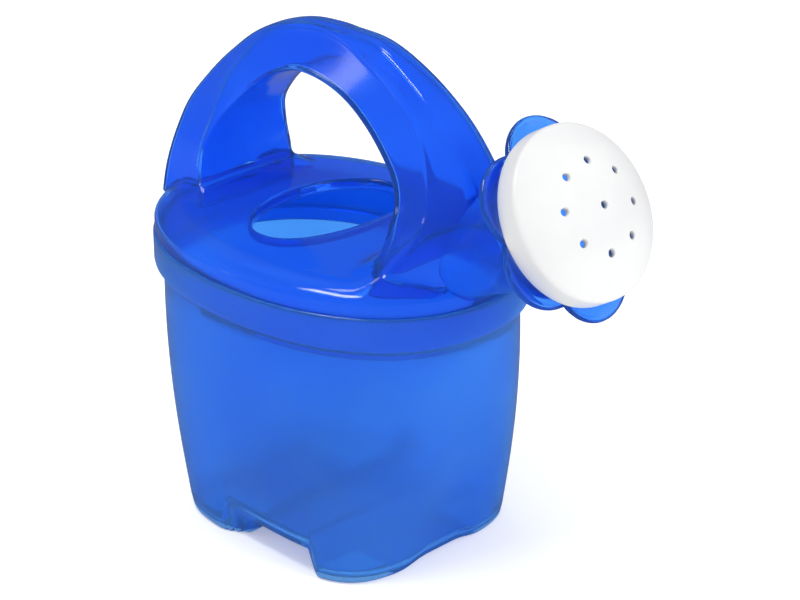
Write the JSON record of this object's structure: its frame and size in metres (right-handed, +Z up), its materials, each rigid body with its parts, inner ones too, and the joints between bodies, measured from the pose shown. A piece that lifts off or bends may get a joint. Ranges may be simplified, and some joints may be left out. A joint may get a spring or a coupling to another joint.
{
  "type": "watering can",
  "caption": "Small see-through plastic watering can: oval tub on short feet, snapped-on cover with a hollow arch handle, fill opening, trumpet spout with petals and a pull-off domed rose.",
  "frame": {"origin": "under the middle of the whole can's bounding box, on the plane of the feet's soles", "axes": "+X the way the spout points, +Y to the can's left seen from behind the handle looking along +X, +Z up"},
  "size_m": [0.2209, 0.1212, 0.2031],
  "materials": {
    "blue_plastic": "clear glossy, see-through deep blue",
    "white_plastic": "opaque satin white"
  },
  "bodies": {
    "can": {"tub": "blue_plastic", "cover": "blue_plastic", "handle": "blue_plastic", "spout": "blue_plastic", "petals": "blue_plastic"},
    "rose": {"rose": "white_plastic"}
  },
  "joints": [
    {"name": "rose_pull", "type": "slide", "parent": "can", "child": "rose", "axis": [0.8572, 0, 0.515], "range_m": [0, 0.045]}
  ]
}
